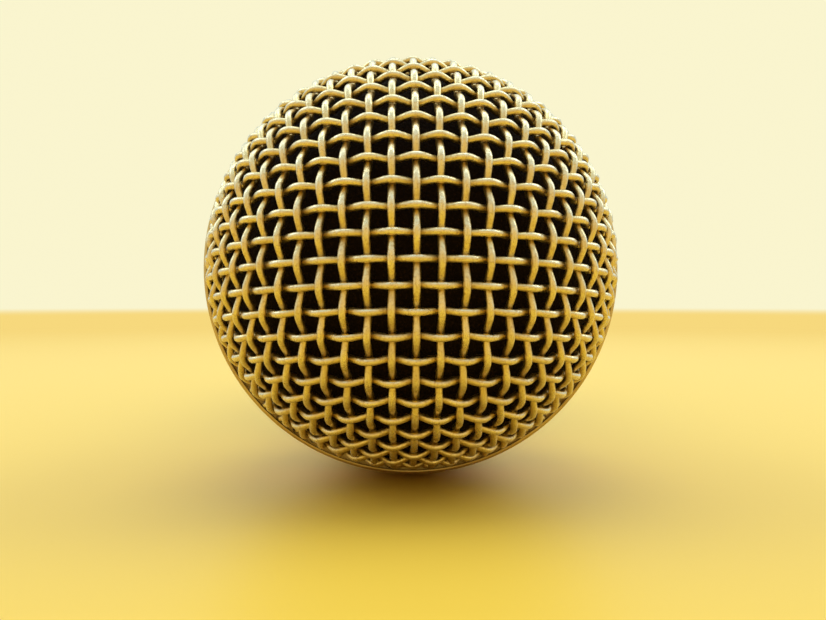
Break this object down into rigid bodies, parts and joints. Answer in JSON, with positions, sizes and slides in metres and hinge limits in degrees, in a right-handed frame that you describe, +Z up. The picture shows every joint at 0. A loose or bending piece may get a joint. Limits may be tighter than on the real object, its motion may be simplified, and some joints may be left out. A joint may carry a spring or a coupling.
{
  "type": "handheld dynamic microphone",
  "caption": "Handheld vocal microphone lying on its side: woven ball grille with a metal band, tapered handle with slide switch and a three-pin socket in the tail.",
  "frame": {"origin": "centre of the resting microphone's footprint on the table, z = 0 at the table", "axes": "+Z up, the ball grille looks to -Y and the tail points to +Y, +X to the viewer's right in front of the ball; the microphone's own axis rises towards the ball by about six degrees, because it lies on the band and the tail"},
  "size_m": [0.0512, 0.1626, 0.0517],
  "materials": {
    "champagne_wire": "satin plated wire",
    "champagne_metal": "satin plated",
    "charcoal_enamel": "fine metallic enamel",
    "black_foam": "open-cell foam",
    "black_rubber": "matte",
    "black_plastic": "matte",
    "green_insulator": "moulded",
    "gold_contact": "plated",
    "steel": "satin",
    "black_steel": "oxide black",
    "laminated_iron": "stacked sheets",
    "copper_winding": "enamelled wire",
    "cream_bobbin": "moulded",
    "grey_foam": "foam",
    "lead_insulation": "insulated wire",
    "satin_aluminium": "satin",
    "white_felt": "felt",
    "magnet_nickel": "nickel plated",
    "clear_film": "thin film",
    "brown_board": "laminate",
    "screen_weave": "fine cloth"
  },
  "bodies": {
    "handle": {"handle_shell": "charcoal_enamel", "connector_insert": "green_insulator", "contact_pin_1": "gold_contact", "contact_pin_2": "gold_contact", "contact_pin_3": "gold_contact", "connector_set_screw": "black_steel", "ground_clip": "gold_contact", "transformer_core": "laminated_iron", "transformer_bobbin": "cream_bobbin", "transformer_winding": "copper_winding", "transformer_sleeve": "grey_foam", "output_leads": "lead_insulation", "capsule_leads": "lead_insulation", "switch_plate": "black_steel", "switch_screws": "black_steel", "switch_body": "black_plastic", "isolator_ring": "black_rubber"},
    "switch_slider": {"switch_slider": "black_plastic"},
    "grille_foam": {"foam_dome": "black_foam", "foam_rear_lining": "black_foam"},
    "grille": {"front_mesh": "champagne_wire", "rear_mesh": "champagne_wire", "equator_band": "champagne_metal", "grille_collar": "champagne_metal"},
    "capsule": {"capsule_can": "satin_aluminium", "acoustic_felt": "white_felt", "yoke_cup": "steel", "magnet": "magnet_nickel", "pole_piece": "steel", "top_plate": "steel", "diaphragm_ring": "black_plastic", "resonator_cap": "satin_aluminium", "screen_cloth": "screen_weave", "rear_chamber": "black_plastic", "terminal_board": "brown_board", "terminal_lugs": "gold_contact"},
    "diaphragm": {"diaphragm": "clear_film", "voice_coil": "copper_winding"}
  },
  "joints": [
    {"name": "switch_slide", "type": "slide", "parent": "handle", "child": "switch_slider", "axis": [0, -0.9945, 0.1046], "range_m": [0, 0.004]},
    {"name": "grille_lift", "type": "slide", "parent": "handle", "child": "grille_foam", "axis": [0, -0.9945, 0.1046], "range_m": [0, 0.005]},
    {"name": "grille_screw", "type": "hinge", "parent": "grille_foam", "child": "grille", "pos_m": [0, -0.0236, 0.02269], "axis": [0, -0.9945, 0.1046], "range_deg": [0, 1440]},
    {"name": "capsule_float", "type": "slide", "parent": "handle", "child": "capsule", "axis": [0, -0.9945, 0.1046], "range_m": [-0.0004, 0.0004], "stiffness_N_per_m": 4000},
    {"name": "diaphragm_stroke", "type": "slide", "parent": "capsule", "child": "diaphragm", "axis": [0, -0.9945, 0.1046], "range_m": [-0.0003, 0.0003], "stiffness_N_per_m": 900}
  ],
  "couplings": [
    {"joint": "grille_screw", "follows": "grille_lift", "rad_per_m": 5026.5}
  ]
}
